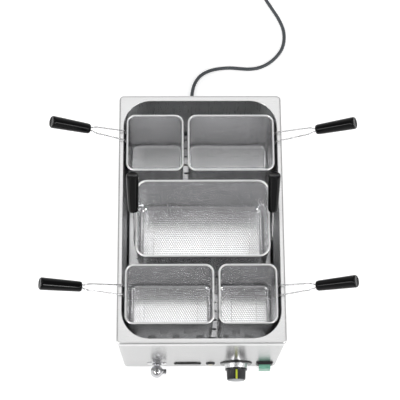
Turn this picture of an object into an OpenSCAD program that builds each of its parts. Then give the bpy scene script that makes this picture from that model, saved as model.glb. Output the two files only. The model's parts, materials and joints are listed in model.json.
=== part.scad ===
// Electric table-top pasta cooker: a water tank in a sheet steel casing with five lift-out baskets.
// Millimetres. +X is to the right and +Y to the back, seen from the controls. +Z is up.
// The origin lies under the middle of the object, on the surface that the feet stand on.

/* [Casing] */
// Width of the top plate, left to right
casing_w = 340; // [330:1:400]
// Length of the top plate, front to back
casing_l = 527; // [515:1:600]
// Height of the casing above its feet
casing_h = 300; // [285:1:340]
// Thickness of the casing sheet
sheet_t = 1; // [0.8:0.1:1.5]
// Height of the feet with the base plate
foot_h = 22; // [18:1:30]
// Diameter of a foot
foot_d = 30; // [24:1:40]
// Distance of the feet from the sides and ends of the casing
foot_inset = 26; // [22:1:40]

/* [Top plate] */
// Thickness of the top plate
deck_t = 1.2; // [1:0.1:2]
// Height of the folded lip
deck_lip = 15; // [8:1:25]
// Radius of the corners, seen from above
deck_corner_r = 10; // [7:1:16]
// Radius of the fold between the top and the lip
deck_edge_r = 4; // [2.5:0.5:6]
// Strip of the top plate left beside the tank
border_side = 10.5; // [9:0.5:20]
// Strip of the top plate left in front of and behind the tank
border_end = 12.5; // [10:0.5:25]

/* [Tank] */
// Depth of the tank below the top plate
tank_depth = 226; // [215:1:232]
// Radius of the tank's upright corners
tank_corner_r = 56; // [40:1:70]
// Radius between the tank's walls and its floor
tank_floor_r = 20; // [8:1:24]
// Thickness of the tank sheet
tank_t = 1; // [0.8:0.1:1.5]

/* [False bottom] */
// Height of the false bottom above the tank floor
rack_h = 21.5; // [20:0.5:26]
// Thickness of the punched plate
rack_t = 1.5; // [1:0.1:2]
// Gap between the punched plate and the tank wall
rack_gap = 5; // [3:0.5:10]
// Length of a punched slot
slot_l = 18; // [12:0.5:22]
// Width of a punched slot
slot_w = 4; // [3:0.5:6]
// Distance between two columns of slots, left to right
slot_column = 26; // [24:0.5:32]
// Distance between two rows of slots, which are staggered
slot_row = 9.8; // [8:0.1:14]

/* [Baskets] */
// How far the rims lie below the top plate
rim_drop = 11; // [8:1:18]
// Width of a small basket over its rim
small_w = 120; // [100:1:135]
// Front-to-back size of the small and medium baskets over the rim
pair_d = 124; // [100:1:126]
// Gap between the two baskets of a pair
pair_gap = 8; // [5:0.5:14]
// Gap between the outer baskets and the tank wall
basket_side_gap = 4.75; // [4:0.25:8]
// Share of the free length at the back that lies between the back pair and the large basket
back_gap_share = 0.433; // [0.3:0.001:0.6]
// Share of the free length at the front that lies between the front pair and the large basket
front_gap_share = 0.322; // [0.2:0.001:0.6]
// Width of the large basket over its rim
large_w = 277; // [240:1:280]
// Front-to-back size of the large basket over its rim
large_d = 164; // [140:1:166]
// How far the large basket stands to the right of the middle
large_x = 4; // [0:0.5:5]
// Thickness of the basket sheet
basket_t = 0.8; // [0.6:0.1:1]
// Corner radius of the small and medium baskets' rims
pair_corner_r = 18; // [14:1:24]
// Corner radius of the large basket's rim
large_corner_r = 24; // [18:1:30]
// Radius between a basket's walls and its base
basket_floor_r = 8; // [4:0.5:10]
// Diameter of the rim wire
rim_d = 4.5; // [3.5:0.1:5]
// How far a basket lifts
lift = 240; // [200:5:300]

/* [Basket handles] */
// Diameter of the handle wire
wire_d = 3; // [2.5:0.1:3.5]
// Distance between the two wires at the basket
wire_spread = 20; // [14:1:26]
// Distance between the two wires just before the grip
fork_spread = 13; // [11:1:16]
// Distance between the two wires inside the grip
tang_spread = 6; // [5:0.5:8]
// Length of the wires from the basket to a side grip
side_reach = 82; // [70:1:100]
// Length of the wires from the large basket to its grips
large_reach = 54; // [45:1:70]
// Length of a grip
grip_l = 84; // [70:1:100]
// Diameter of a grip at its outer end
grip_d = 25; // [21:0.5:28]
// Diameter of a grip at the wires
grip_neck_d = 20.5; // [16:0.5:23]
// How far the wires run into the grip
tang_l = 40; // [20:1:60]
// Slope of the large basket's handles
large_tilt = 48; // [40:1:55]
// How far the large basket's handles sit in front of its middle
large_handle_back = 37; // [20:1:50]

/* [Controls] */
// Width of the casing that the places below are given for. They move in and out with the real width
layout_w = 340; // [300:1:400]
// Height of the controls above the table
controls_z = 66; // [62:0.5:68]
// Place of the thermostat, right of the middle
knob_x = 78.5; // [70:0.5:82]
// Diameter of the black dial plate
dial_plate_d = 70; // [60:1:74]
// Diameter of the silver dial ring
dial_ring_d = 52; // [46:1:56]
// Diameter of the knob's skirt
knob_skirt_d = 48; // [42:1:50]
// Diameter of the knob
knob_d = 42; // [36:1:44]
// How far the knob stands out of the front panel
knob_reach = 38; // [32:1:45]
// Width of the pointer on the knob
pointer_w = 4; // [2:0.5:6]
// Place of the rocker switch, right of the middle
switch_x = 140.3; // [138:0.1:143]
// Width of the switch frame
switch_w = 36; // [33:1:38]
// Height of the switch frame
switch_h = 30; // [28:1:34]
// How far the rocker stands out of the front panel
rocker_reach = 15.5; // [13:0.5:18]
// Half of the angle that the rocker tips through
rocker_tilt = 7; // [4:1:8]
// Place of the indicator lamp, right of the middle
lamp_x = 22.4; // [18:0.1:26]
// Diameter of the indicator lamp's frame
lamp_d = 20; // [16:1:24]
// Place of the blank plate
badge_x = -27.5; // [-32:0.5:-22]
// Width of the blank plate
badge_w = 60; // [50:1:64]
// Height of the blank plate
badge_h = 20; // [16:1:26]

/* [Drain tap] */
// Place of the tap, left of the middle
tap_x = -94.5; // [-100:0.5:-85]
// Diameter of the tap's wall flange
tap_flange_d = 44; // [36:1:48]
// Diameter of the drop-shaped tap body
tap_d = 28; // [26:1:32]
// Distance from the front panel to the middle of the tap body
tap_reach = 18; // [16:0.5:24]
// Diameter of the valve ball
ball_d = 16; // [14:0.5:18]
// Bore of the valve ball
port_d = 8.5; // [6:0.5:9]
// Diameter of the spout
spout_d = 16; // [14:0.5:18]
// Bore of the spout
spout_bore = 11; // [9:0.5:12]
// Distance from the tap's middle to the end of the spout
spout_drop = 34; // [28:1:38]
// Bore of the drain pipe
drain_bore = 14; // [12:0.5:15]
// Distance of the drain from the tank's front wall
drain_inset = 38; // [36:0.5:50]

/* [Heating element] */
// Diameter of the heating tube
element_d = 8.5; // [6.5:0.5:9]
// Height of the heating tube above the tank floor
element_h = 10; // [9.5:0.1:11]
// Distance between two runs of the heating tube
element_pitch = 36; // [28:1:40]
// Length of a run of the heating tube
element_run = 340; // [260:5:360]
// Number of runs, always even
element_runs = 6; // [4:2:6]

/* [Power cord] */
// Diameter of the cord
cord_d = 8.3; // [7:0.1:9]
// Place of the cable gland, right of the middle
gland_x = -16; // [-40:1:20]
// Height of the cable gland
gland_z = 42; // [38:1:60]
// Inner radius of the coil, to the middle of the cord
coil_r = 40; // [36:1:46]
// Number of turns in the coil
coil_turns = 3.25; // [3.25:1:5.25]
// Free gap between two turns
coil_gap = 0.7; // [0.5:0.1:1.5]

/* [Hidden] */
$fn = 48;

// Places of the controls, from the middle
knob_at = knob_x * casing_w / layout_w;
switch_at = switch_x * casing_w / layout_w;
lamp_at = lamp_x * casing_w / layout_w;
badge_at = badge_x * casing_w / layout_w;
tap_at = tap_x * casing_w / layout_w;

// Clearances
seat_gap = 0.2;
lip_gap = 0.3;
run_gap = 0.05;
hole_gap = 0.1;
cut = 1;

// Heights
deck_top = foot_h + casing_h;
deck_under = deck_top - deck_t;
tank_floor_z = deck_top - tank_depth;
tank_under_z = tank_floor_z - tank_t;
rack_top = tank_floor_z + rack_h;
basket_z = rack_top + seat_gap;
rim_z = deck_top - rim_drop;
base_z = foot_h - sheet_t;

// Casing and tank in plan
skin_w = casing_w - 2 * (deck_t + lip_gap);
skin_l = casing_l - 2 * (deck_t + lip_gap);
skin_h = deck_top - deck_edge_r - foot_h;
skin_corner_r = deck_corner_r - deck_t - lip_gap;
panel_y = -skin_l / 2;
rear_y = skin_l / 2;
seam_y = panel_y + skin_corner_r;
flange_w = 12;
tank_w = casing_w - 2 * border_side;
tank_l = casing_l - 2 * border_end;

// Places of the baskets
free_l = (tank_l - large_d) / 2 - pair_d;
back_pair_y = (large_d + pair_d) / 2 + back_gap_share * free_l;
front_pair_y = -(large_d + pair_d) / 2 - front_gap_share * free_l;
medium_w = tank_w - 2 * basket_side_gap - pair_gap - small_w;
left_edge = -tank_w / 2 + basket_side_gap;
right_edge = -left_edge;
at_left = left_edge + small_w / 2;
at_right = right_edge - small_w / 2;
medium_left = left_edge + medium_w / 2;
medium_right = right_edge - medium_w / 2;
back_medium_reach = side_reach + 10;
front_medium_reach = side_reach + 5;
back_small_shift = 10;
back_medium_shift = 6;
front_medium_shift = 5;
front_small_shift = 3;
// Baskets: name, width, depth, corner radius, place, side of the handle, slope, reach, handle's place
BASKETS = [
  ["back_small", small_w, pair_d, pair_corner_r, [at_left, back_pair_y],
    [-1], 30, side_reach, back_small_shift],
  ["back_medium", medium_w, pair_d, pair_corner_r, [medium_right, back_pair_y],
    [1], 29, back_medium_reach, back_medium_shift],
  ["large", large_w, large_d, large_corner_r, [large_x, 0],
    [-1, 1], large_tilt, large_reach, -large_handle_back],
  ["front_medium", medium_w, pair_d, pair_corner_r, [medium_left, front_pair_y],
    [-1], 21, front_medium_reach, front_medium_shift],
  ["front_small", small_w, pair_d, pair_corner_r, [at_right, front_pair_y],
    [1], 30, side_reach, front_small_shift]
];

// Basket details
wall_inset = rim_d / 2 - basket_t / 2;
leg_gap = 0.1;
leg_l = 45;
shoulder_h = 15;
fork_l = 9;
bend_setback = 5;
wire_sides = 8;

// Controls
dial_plate_t = 3;
dial_ring_t = 9;
shaft_d = 6;
shaft_hole_d = 12;
thermostat_w = 42;
thermostat_h = 44;
thermostat_deep = 34;
shaft_in_body = 12;
shaft_in_knob = 15;
skirt_t = 4;
cap_t = 1.5;
cap_d = knob_d - 5;
pointer_rise = 0.4;
frame_t = 5;
switch_window_w = 25.4;
rocker_w = 24.8;
rocker_r = 10.4;
rocker_gap = 0.4;
rocker_pivot = 3;
rocker_pin_d = 3;
rocker_pin_l = 1.2;
switch_body_w = 28;
switch_body_h = 24;
switch_deep = 22;
lamp_t = 3;
lens_d = 10;
lamp_body_d = 13;
badge_t = 3;

// Drain
tap_y = panel_y - tap_reach;
tail_d = 17;
tail_l = 12;
tap_flange_t = 3;
neck_d = 13;
nut_across = 24;
nut_t = 8;
stem_d = 6;
lever_gap = 0.4;
lever_t = 4;
lever_w = 9;
lever_l = 30;
gland_boss_d = 13;
gland_boss_x = tap_d / 2 + 1.2;
pipe_wall = 2;
drain_y = -tank_l / 2 + drain_inset;
drain_flange_d = 30;

// Heating element
element_z = tank_floor_z + element_h;
element_bend_r = 8;
element_x0 = -element_pitch * (element_runs - 1) / 2;
element_shift = 10;
element_front_y = -element_run / 2 - element_shift;
element_back_y = element_run / 2 - element_shift;
leg_y = element_back_y + element_bend_r;
element_end_z = tank_under_z - 22;
bushing_d = 14;
bushing_flange_d = 19;
bushing_flange_t = 1.6;
bushing_l = 15;
bushing_nut_across = 20;
bushing_nut_t = 6;
sensor_d = 6;
sensor_z = tank_floor_z + 8;
sensor_y = [-40, 50];
capillary_d = 2;
capillary_y = -120;
capillary_bushing_d = 8;

// Base
nut_h = 5;
foot_screw_d = 6;
foot_well = 12;
foot_x = casing_w / 2 - foot_inset;
foot_y = casing_l / 2 - foot_inset;
base_screw_d = 4;
base_screw_x = skin_w / 2 - flange_w / 2;
base_screw_y = skin_l / 2 - 62;
vent_w = 5;
vent_l = 40;

// Power cord
gland_hole_d = 16;
gland_reach = 36;
cord_y0 = rear_y + gland_reach;
cord_z = cord_d / 2;
coil_pitch = cord_d + coil_gap;
coil_out_r = coil_r + coil_pitch * coil_turns / 2;
coil_start = [150, 716];
coil_centre = coil_start - [coil_out_r, 0];
coil_end_a = 360 * coil_turns;
plug_y = coil_centre[1] + coil_out_r;
plug_x = coil_centre[0] - 50;
plug_d = 37;
plug_l = 36;
plug_neck_l = 26;
pin_d = 4.8;
pin_l = 19;
pin_spread = 19;
// Points that the cord follows on its way over the table, after it has come down behind the casing
CORD_POINTS = [
  [-16, 321, 41], [-16, 332, 37], [-16, 345, 29], [-16, 358, 19], [-16, 371, 10],
  [-15, 385, 5], [-13, 401, 4.2], [-7, 420, 4.2], [6, 438, 4.2], [26, 450, 4.2], [50, 456, 4.2],
  [77, 458, 4.2], [103, 456, 4.2], [125, 455, 4.2], [148, 459, 4.2], [170, 470, 4.2], [189, 487, 4.2],
  [203, 508, 4.2], [209, 533, 4.2], [207, 560, 4.2], [196, 588, 4.2], [181, 614, 4.2], [166, 640, 4.2],
  [155, 668, 4.2], [151, 690, 4.2]
];

// Plain helpers

function unit(v) = v / norm(v);

// Replaces each inner corner of a path by a short curve
function eased(a, b, c, setback, steps) =
  let (p = b + unit(a - b) * setback, q = b + unit(c - b) * setback)
  [for (i = [0:steps]) let (t = i / steps) (1 - t) ^ 2 * p + 2 * t * (1 - t) * b + t ^ 2 * q];
function rounded(path, setback, steps) = [
  path[0],
  for (i = [1:len(path) - 2]) each eased(path[i - 1], path[i], path[i + 1], setback, steps),
  path[len(path) - 1]
];

// Points on a smooth curve through a list of points
function spline_at(a, b, c, d, t) =
  0.5 * (2 * b + (c - a) * t + (2 * a - 5 * b + 4 * c - d) * t ^ 2 + (3 * b - a - 3 * c + d) * t ^ 3);
function smooth(path, steps) =
  let (n = len(path))
  [
    for (i = [0:n - 2], k = [0:steps - 1])
      spline_at(path[max(i - 1, 0)], path[i], path[i + 1], path[min(i + 2, n - 1)], k / steps),
    path[n - 1]
  ];

// A closed tube along a path, turned as little as possible from ring to ring
function headings(path) =
  let (n = len(path))
  [for (i = [0:n - 1]) unit(path[min(i + 1, n - 1)] - path[max(i - 1, 0)])];
function normals(ts, last, i = 0) =
  i >= len(ts) ? [] :
  let (n = unit(last - (last * ts[i]) * ts[i])) concat([n], normals(ts, n, i + 1));
module tube(path, d, sides = 8, first = [0, 0, 1]) {
  ts = headings(path);
  ns = normals(ts, first);
  rings = len(path);
  points = [
    for (i = [0:rings - 1], k = [0:sides - 1])
      let (a = 360 * (k + 0.5) / sides) path[i] + d / 2 * (cos(a) * ns[i] + sin(a) * cross(ts[i], ns[i]))
  ];
  faces = [
    [for (k = [0:sides - 1]) k],
    for (i = [0:rings - 2], k = [0:sides - 1]) let (a = i * sides + k, b = i * sides + (k + 1) % sides)
      each [[a, a + sides, b], [b, a + sides, b + sides]],
    [for (k = [sides - 1:-1:0]) (rings - 1) * sides + k]
  ];
  polyhedron(points, faces);
}

module along_y(y) translate([0, y, 0]) rotate([-90, 0, 0]) children();

module rod_y(d, y0, y1) along_y(y0) cylinder(d = d, h = y1 - y0);

module rounded_plate(w, l, r, t) {
  linear_extrude(t) {
    square([w - 2 * r, l], center = true);
    square([w, l - 2 * r], center = true);
    for (x = [-1, 1], y = [-1, 1]) translate([x * (w / 2 - r), y * (l / 2 - r)]) circle(r);
  }
}

// An oblong with round ends
module stadium(w, h) {
  square([w - h, h], center = true);
  for (x = [-1, 1]) translate([x * (w - h) / 2, 0]) circle(d = h);
}

// Sweeps a section round a rectangle with round corners. Its x is the distance from the corner's axis
module swept_round(w, l, r) {
  for (i = [0:3]) {
    across = i % 2 == 0 ? [w, l] : [l, w];
    rotate(90 * i) {
      translate([across[0] / 2 - r, across[1] / 2 - r, 0]) rotate_extrude(angle = 90) children();
      translate([across[0] / 2 - r, across[1] / 2 - r, 0]) rotate([90, 0, 0])
        linear_extrude(across[1] - 2 * r) children();
    }
  }
}

// Section of a pan's wall and floor, with a round fold between them
module pan_outline(reach, rise, fold) {
  square([reach - fold, rise]);
  translate([0, fold]) square([reach, rise - fold]);
  translate([reach - fold, fold]) circle(fold);
}
module pan_section(reach, rise, fold, wall) {
  difference() {
    pan_outline(reach, rise, fold);
    translate([-cut, wall]) pan_outline(reach - wall + cut, rise, fold - wall);
  }
}
module pan(w, l, r, rise, fold, wall) {
  swept_round(w, l, r) pan_section(r, rise, fold, wall);
  linear_extrude(wall) square([w - 2 * r, l - 2 * r], center = true);
}

// Casing

module deck_plate() {
  color("gainsboro") difference() {
    translate([0, 0, deck_top]) mirror([0, 0, 1])
      pan(casing_w, casing_l, deck_corner_r, deck_lip, deck_edge_r, deck_t);
    translate([0, 0, deck_under - cut]) rounded_plate(tank_w, tank_l, tank_corner_r, deck_t + 2 * cut);
  }
}

module tank() {
  color("silver") difference() {
    translate([0, 0, tank_under_z])
      pan(tank_w + 2 * tank_t, tank_l + 2 * tank_t, tank_corner_r + tank_t, deck_under - tank_under_z,
          tank_floor_r + tank_t, tank_t);
    translate([tap_at, drain_y, tank_under_z - cut]) cylinder(d = drain_bore, h = tank_t + 2 * cut);
    for (x = [element_x0, -element_x0])
      translate([x, leg_y, tank_under_z - cut]) cylinder(d = bushing_d + 2 * hole_gap, h = tank_t + 2 * cut);
    translate([0, capillary_y, tank_under_z - cut])
      cylinder(d = capillary_bushing_d + 2 * hole_gap, h = tank_t + 2 * cut);
  }
}

// The upright sheets of the casing as one shell, with the sheet's thickness and round corners
module skin(y0, y1) {
  inner_r = skin_corner_r - sheet_t;
  intersection() {
    translate([0, 0, foot_h]) difference() {
      rounded_plate(skin_w, skin_l, skin_corner_r, skin_h);
      translate([0, 0, -cut])
        rounded_plate(skin_w - 2 * sheet_t, skin_l - 2 * sheet_t, inner_r, skin_h + 2 * cut);
    }
    translate([-skin_w, y0, 0]) cube([2 * skin_w, y1 - y0, deck_top]);
  }
}

module casing_wrap() {
  color("lightgray") difference() {
    union() {
      skin(seam_y, rear_y + cut);
      intersection() {
        translate([0, 0, foot_h]) rounded_plate(skin_w, skin_l, skin_corner_r, sheet_t);
        translate([-skin_w, seam_y, 0]) cube([2 * skin_w, skin_l, deck_top]);
      }
    }
    translate([-skin_w / 2 + flange_w, panel_y, foot_h - cut])
      cube([skin_w - 2 * flange_w, skin_l - flange_w, sheet_t + 2 * cut]);
    translate([gland_x, 0, gland_z]) rod_y(gland_hole_d + 2 * hole_gap, rear_y - sheet_t - cut, rear_y + cut);
    for (x = [-base_screw_x, base_screw_x], y = [-base_screw_y, 0, base_screw_y])
      translate([x, y, foot_h - cut]) cylinder(d = base_screw_d + 2 * hole_gap, h = sheet_t + 2 * cut);
  }
}

// The panel goes round both corners, and its strips behind the side sheets hold it
module front_panel() {
  strip_l = 14;
  inner_w = skin_w - 2 * sheet_t;
  holes_y = panel_y - cut;
  color("whitesmoke") difference() {
    union() {
      skin(panel_y - cut, seam_y);
      for (x = [-inner_w / 2, inner_w / 2 - sheet_t])
        translate([x, seam_y - 1, foot_h + sheet_t]) cube([sheet_t, strip_l, skin_h - sheet_t]);
    }
    translate([0, 0, controls_z]) {
      translate([knob_at, 0, 0]) rod_y(shaft_hole_d, holes_y, panel_y + sheet_t + cut);
      translate([lamp_at, 0, 0]) rod_y(lamp_body_d + 2 * hole_gap, holes_y, panel_y + sheet_t + cut);
      translate([tap_at, 0, 0]) rod_y(tail_d + 2 * hole_gap, holes_y, panel_y + sheet_t + cut);
      translate([switch_at - switch_body_w / 2 - hole_gap, holes_y, -switch_body_h / 2 - hole_gap])
        cube([switch_body_w + 2 * hole_gap, sheet_t + 2 * cut, switch_body_h + 2 * hole_gap]);
    }
  }
}

module base_plate() {
  vents_y = [-96, -32, 32, 96];
  color("darkgray") difference() {
    translate([0, 0, base_z]) rounded_plate(skin_w - 2, skin_l - 2, skin_corner_r - 1, sheet_t);
    for (x = [-base_screw_x, base_screw_x], y = [-base_screw_y, 0, base_screw_y])
      translate([x, y, base_z - cut]) cylinder(d = base_screw_d + 2 * hole_gap, h = sheet_t + 2 * cut);
    for (x = [-foot_x, foot_x], y = [-foot_y, foot_y])
      translate([x, y, base_z - cut]) cylinder(d = foot_screw_d + 2 * hole_gap, h = sheet_t + 2 * cut);
    for (x = [-60, -20, 20, 60], y = vents_y)
      translate([x, y, base_z + sheet_t / 2]) cube([vent_w, vent_l, sheet_t + 2 * cut], center = true);
  }
}

module base_screws() {
  head_h = 2.2;
  color("silver") for (x = [-base_screw_x, base_screw_x], y = [-base_screw_y, 0, base_screw_y])
    translate([x, y, base_z]) {
      translate([0, 0, -head_h]) cylinder(d = 2 * base_screw_d, h = head_h);
      cylinder(d = base_screw_d, h = 8);
    }
}

module feet() {
  color("dimgray") for (x = [-foot_x, foot_x], y = [-foot_y, foot_y]) translate([x, y, 0]) difference() {
    union() {
      cylinder(d1 = foot_d - 6, d2 = foot_d, h = base_z - 6);
      translate([0, 0, base_z - 6]) cylinder(d = foot_d, h = 6);
    }
    translate([0, 0, base_z - foot_well]) cylinder(d = foot_screw_d + 2 * run_gap, h = foot_well + cut);
  }
}

module foot_screws() {
  color("silver") for (x = [-foot_x, foot_x], y = [-foot_y, foot_y]) translate([x, y, 0]) {
    translate([0, 0, base_z - foot_well + seat_gap]) cylinder(d = foot_screw_d, h = foot_well + nut_h + 3);
    translate([0, 0, foot_h]) cylinder(d = 1.9 * foot_screw_d, h = nut_h, $fn = 6);
  }
}

// Tank fittings

module false_bottom() {
  w = tank_w - 2 * rack_gap;
  l = tank_l - 2 * rack_gap;
  skirt_x = w / 2 - 21;
  skirt_l = l - 150;
  corner_r = tank_corner_r - rack_gap;
  slot_margin = 6;
  columns = floor((w / 2 - slot_margin - slot_l / 2) / slot_column);
  rows = floor((l / 2 - slot_margin - slot_w) / slot_row);
  color("lightgray") {
    difference() {
      translate([0, 0, rack_top - rack_t]) rounded_plate(w, l, corner_r, rack_t);
      for (i = [-columns:columns], k = [-rows:rows]) {
        past_x = max(abs(i) * slot_column + (slot_l - slot_w) / 2 - w / 2 + corner_r, 0);
        past_y = max(abs(k) * slot_row - l / 2 + corner_r, 0);
        if ((i + k) % 2 != 0 && norm([past_x, past_y]) < corner_r - slot_margin)
          translate([i * slot_column, k * slot_row, rack_top - rack_t - cut])
            linear_extrude(rack_t + 2 * cut) stadium(slot_l, slot_w, $fn = 16);
      }
    }
    for (x = [-skirt_x - rack_t / 2, skirt_x - rack_t / 2])
      translate([x, -skirt_l / 2, tank_floor_z + seat_gap])
        cube([rack_t, skirt_l, rack_h - rack_t - seat_gap]);
  }
}

module heating_element() {
  color("dimgray") {
    for (i = [0:element_runs - 1])
      translate([element_x0 + i * element_pitch, 0, element_z])
        rod_y(element_d, element_front_y, element_back_y);
    for (i = [0:element_runs - 2]) {
      at_front = i % 2 == 0;
      bend_y = at_front ? element_front_y : element_back_y;
      translate([element_x0 + (i + 0.5) * element_pitch, bend_y, element_z])
        rotate(at_front ? 180 : 0) rotate_extrude(angle = 180)
          translate([element_pitch / 2, 0]) circle(d = element_d);
    }
    for (x = [element_x0, -element_x0]) {
      translate([x, element_back_y, element_z - element_bend_r]) rotate([90, 0, 90])
        rotate_extrude(angle = 90) translate([element_bend_r, 0]) circle(d = element_d);
      translate([x, leg_y, element_end_z])
        cylinder(d = element_d, h = element_z - element_bend_r - element_end_z);
    }
  }
}

module bushing(flange_d, body_d, bore_d) {
  difference() {
    union() {
      translate([0, 0, tank_floor_z]) cylinder(d = flange_d, h = bushing_flange_t);
      translate([0, 0, tank_floor_z - bushing_l]) cylinder(d = body_d, h = bushing_l);
    }
    translate([0, 0, tank_floor_z - bushing_l - cut])
      cylinder(d = bore_d + 2 * run_gap, h = bushing_l + bushing_flange_t + 2 * cut);
  }
}

module tank_bushings() {
  color("goldenrod") {
    for (x = [element_x0, -element_x0])
      translate([x, leg_y, 0]) bushing(bushing_flange_d, bushing_d, element_d);
    translate([0, capillary_y, 0]) bushing(capillary_bushing_d + 5, capillary_bushing_d, capillary_d);
  }
}

module hex_ring(across, bore_d, t) {
  difference() {
    cylinder(d = across / cos(30), h = t, $fn = 6);
    translate([0, 0, -cut]) cylinder(d = bore_d + 2 * run_gap, h = t + 2 * cut);
  }
}

module bushing_nuts() {
  color("goldenrod") {
    for (x = [element_x0, -element_x0])
      translate([x, leg_y, tank_under_z - bushing_nut_t])
        hex_ring(bushing_nut_across, bushing_d, bushing_nut_t);
    translate([0, capillary_y, tank_under_z - bushing_nut_t])
      hex_ring(capillary_bushing_d + 5, capillary_bushing_d, bushing_nut_t);
  }
}

module sensor_bulb() {
  color("peru") translate([0, 0, sensor_z]) rod_y(sensor_d, sensor_y[0], sensor_y[1]);
}

module sensor_clip() {
  strip_t = 1;
  strip_w = 10;
  post_t = 3;
  color("silver") difference() {
    union() {
      translate([-strip_w / 2, sensor_y[0] + 5, tank_floor_z])
        cube([strip_w, sensor_y[1] - sensor_y[0] - 10, strip_t]);
      for (y = [sensor_y[0] + 5, sensor_y[1] - 5 - post_t])
        translate([-strip_w / 2, y, tank_floor_z])
          cube([strip_w, post_t, sensor_z - tank_floor_z + sensor_d]);
    }
    translate([0, 0, sensor_z]) rod_y(sensor_d + 2 * run_gap, sensor_y[0], sensor_y[1]);
  }
}

// The thin tube from the bulb, down through the tank floor and forward to the thermostat
module capillary_tube() {
  thermostat_back = panel_y + sheet_t + thermostat_deep;
  route = rounded([
    [0, sensor_y[0], sensor_z], [0, capillary_y, sensor_z], [0, capillary_y, tank_under_z - 22],
    [knob_at, thermostat_back + 30, controls_z + 6], [knob_at, thermostat_back, controls_z + 6]
  ], 6, 6);
  color("peru") tube(route, capillary_d, 8, [1, 0, 0]);
}

module safety_cutout() {
  color("ivory") translate([40, 100, tank_under_z]) mirror([0, 0, 1]) {
    cylinder(d = 22, h = 9);
    translate([0, 0, 9]) cylinder(d = 16, h = 4);
    for (x = [-5, 5]) translate([x - 3, -0.4, 13]) cube([6, 0.8, 8]);
  }
}

module terminal_block() {
  poles = 3;
  block_x = -90;
  block_y = rear_y - 57;
  color("ivory") translate([block_x, block_y, foot_h]) difference() {
    union() {
      cube([16 * poles, 20, 8]);
      for (i = [0:poles - 1]) translate([16 * i + 2, 2, 8]) cube([12, 16, 10]);
    }
    for (i = [0:poles - 1]) {
      translate([16 * i + 8, -cut, 12]) rotate([-90, 0, 0]) cylinder(d = 5, h = 22);
      translate([16 * i + 8, 10, 12]) cylinder(d = 5, h = 7);
    }
  }
}

// Thermostat and its knob

module thermostat_body() {
  color("ivory") translate([knob_at, panel_y + sheet_t, controls_z]) difference() {
    translate([-thermostat_w / 2, 0, -thermostat_h / 2]) cube([thermostat_w, thermostat_deep, thermostat_h]);
    rod_y(shaft_d + 2 * run_gap, -cut, shaft_in_body + seat_gap);
  }
}

module thermostat_shaft() {
  color("silver") translate([knob_at, 0, controls_z])
    rod_y(shaft_d, panel_y - dial_plate_t - dial_ring_t - seat_gap - shaft_in_knob,
          panel_y + sheet_t + shaft_in_body);
}

module dial_plate() {
  bevel_t = dial_plate_t / 2;
  color("black") translate([knob_at, 0, controls_z]) difference() {
    union() {
      rod_y(dial_plate_d, panel_y - dial_plate_t + bevel_t, panel_y);
      along_y(panel_y - dial_plate_t) cylinder(d1 = dial_plate_d - 4, d2 = dial_plate_d, h = bevel_t);
    }
    rod_y(shaft_hole_d, panel_y - dial_plate_t - cut, panel_y + cut);
  }
}

module dial_ring() {
  front = panel_y - dial_plate_t - dial_ring_t;
  color("silver") translate([knob_at, 0, controls_z]) difference() {
    along_y(front) cylinder(d1 = dial_ring_d - 3, d2 = dial_ring_d, h = dial_ring_t);
    rod_y(shaft_hole_d, front - cut, front + dial_ring_t + cut);
    translate([-0.5, front - cut, dial_ring_d / 2 - 2]) cube([1, dial_ring_t, 4]);
  }
}

knob_back = panel_y - dial_plate_t - dial_ring_t - seat_gap;
knob_front = panel_y - knob_reach + cap_t;
barrel_l = knob_back - skirt_t - knob_front;

module control_knob() {
  color("black") translate([knob_at, 0, controls_z]) difference() {
    union() {
      rod_y(knob_skirt_d, knob_back - skirt_t, knob_back);
      along_y(knob_front) cylinder(d1 = knob_d - 2, d2 = knob_d, h = barrel_l);
    }
    rod_y(shaft_d + 2 * run_gap, knob_back - shaft_in_knob - seat_gap, knob_back + cut);
    translate([-pointer_w / 2, knob_front - cut, cap_d / 2]) cube([pointer_w, barrel_l + cut, knob_d]);
  }
}

module knob_pointer() {
  bar_h = knob_d / 2 - 1 + pointer_rise - cap_d / 2;
  color("yellowgreen") translate([knob_at - pointer_w / 2 + seat_gap / 4, knob_front, controls_z + cap_d / 2])
    cube([pointer_w - seat_gap / 2, barrel_l, bar_h]);
}

module knob_cap() {
  color("gray") translate([knob_at, 0, controls_z]) rod_y(cap_d - 1, knob_front - cap_t, knob_front);
}

// Rocker switch

module switch_housing() {
  front_w = switch_w - 4;
  front_h = switch_h - 4;
  pivot_y = panel_y - rocker_pivot;
  pin_x = switch_window_w / 2 + rocker_pin_l;
  color("black") translate([switch_at, 0, controls_z]) difference() {
    union() {
      translate([-switch_w / 2, panel_y - frame_t / 2, -switch_h / 2])
        cube([switch_w, frame_t / 2, switch_h]);
      translate([-front_w / 2, panel_y - frame_t, -front_h / 2]) cube([front_w, frame_t, front_h]);
      translate([-switch_body_w / 2, panel_y, -switch_body_h / 2])
        cube([switch_body_w, switch_deep, switch_body_h]);
    }
    translate([-switch_window_w / 2, pivot_y, 0]) rotate([0, 90, 0])
      cylinder(r = rocker_r + rocker_gap, h = switch_window_w);
    translate([-switch_window_w / 2, panel_y - frame_t - cut, -rocker_r - rocker_gap])
      cube([switch_window_w, frame_t - rocker_pivot + cut, 2 * (rocker_r + rocker_gap)]);
    translate([-pin_x, pivot_y, 0]) rotate([0, 90, 0])
      cylinder(d = rocker_pin_d + 2 * run_gap, h = 2 * pin_x);
  }
}

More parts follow.
